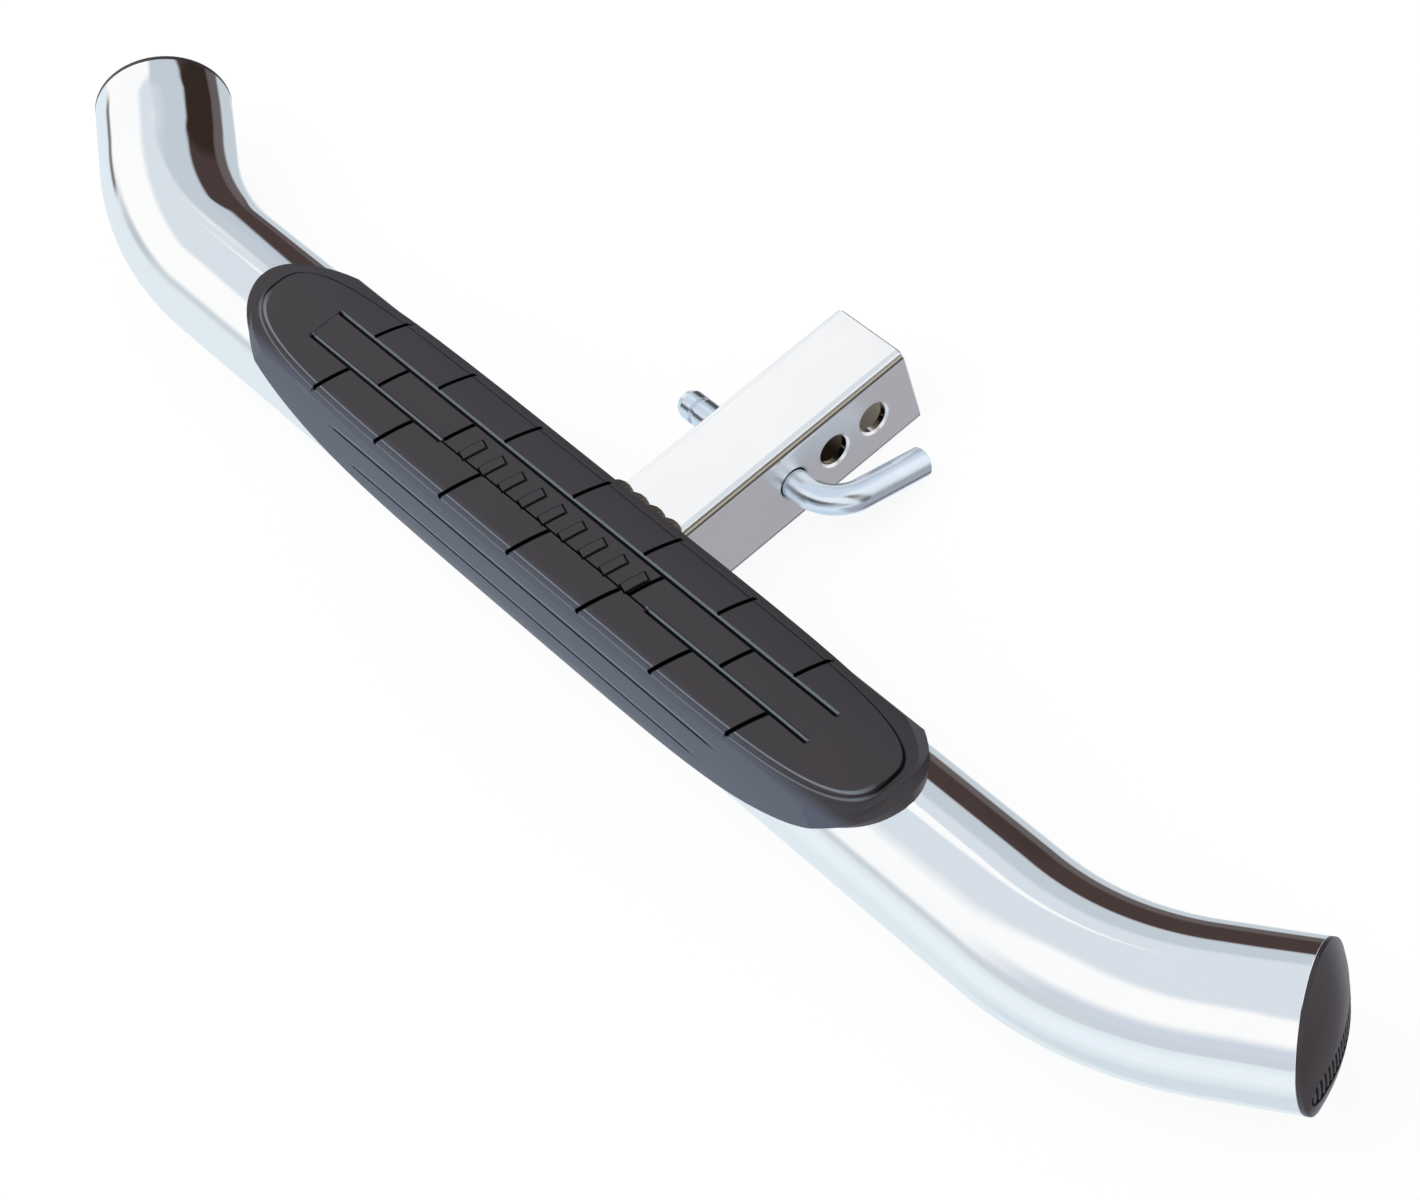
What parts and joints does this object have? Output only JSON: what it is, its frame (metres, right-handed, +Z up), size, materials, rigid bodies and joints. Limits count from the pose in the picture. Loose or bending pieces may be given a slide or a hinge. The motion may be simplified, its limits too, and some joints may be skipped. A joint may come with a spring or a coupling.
{
  "type": "hitch receiver step",
  "caption": "Receiver hitch step: a round bent step bar with a moulded tread pad on a square shank with cross holes and a bent hitch pin.",
  "frame": {"origin": "centre of the shank's open end", "axes": "+Y along the shank towards the vehicle, +Z up, +X along the step bar"},
  "size_m": [0.9368, 0.2328, 0.0936],
  "materials": {
    "polished_bar": "polished",
    "plated_shank": "polished",
    "weld_bead": "plated over a rippled bead",
    "pad_rubber": "satin moulded",
    "clip_plastic": "as moulded",
    "cap_plastic": "semi gloss",
    "plated_pin": "bright zinc"
  },
  "bodies": {
    "step": {"step_tube": "polished_bar", "hitch_shank": "plated_shank", "root_weld": "weld_bead", "step_pad": "pad_rubber", "pad_clip_1": "clip_plastic", "pad_clip_2": "clip_plastic", "pad_clip_3": "clip_plastic", "pad_clip_4": "clip_plastic", "end_cap_left": "cap_plastic", "end_cap_right": "cap_plastic"},
    "pin": {"hitch_pin": "plated_pin"}
  },
  "joints": [
    {"name": "pin_slide", "type": "slide", "parent": "step", "child": "pin", "axis": [1, 0, 0], "range_m": [-0.006, 0.095]}
  ]
}
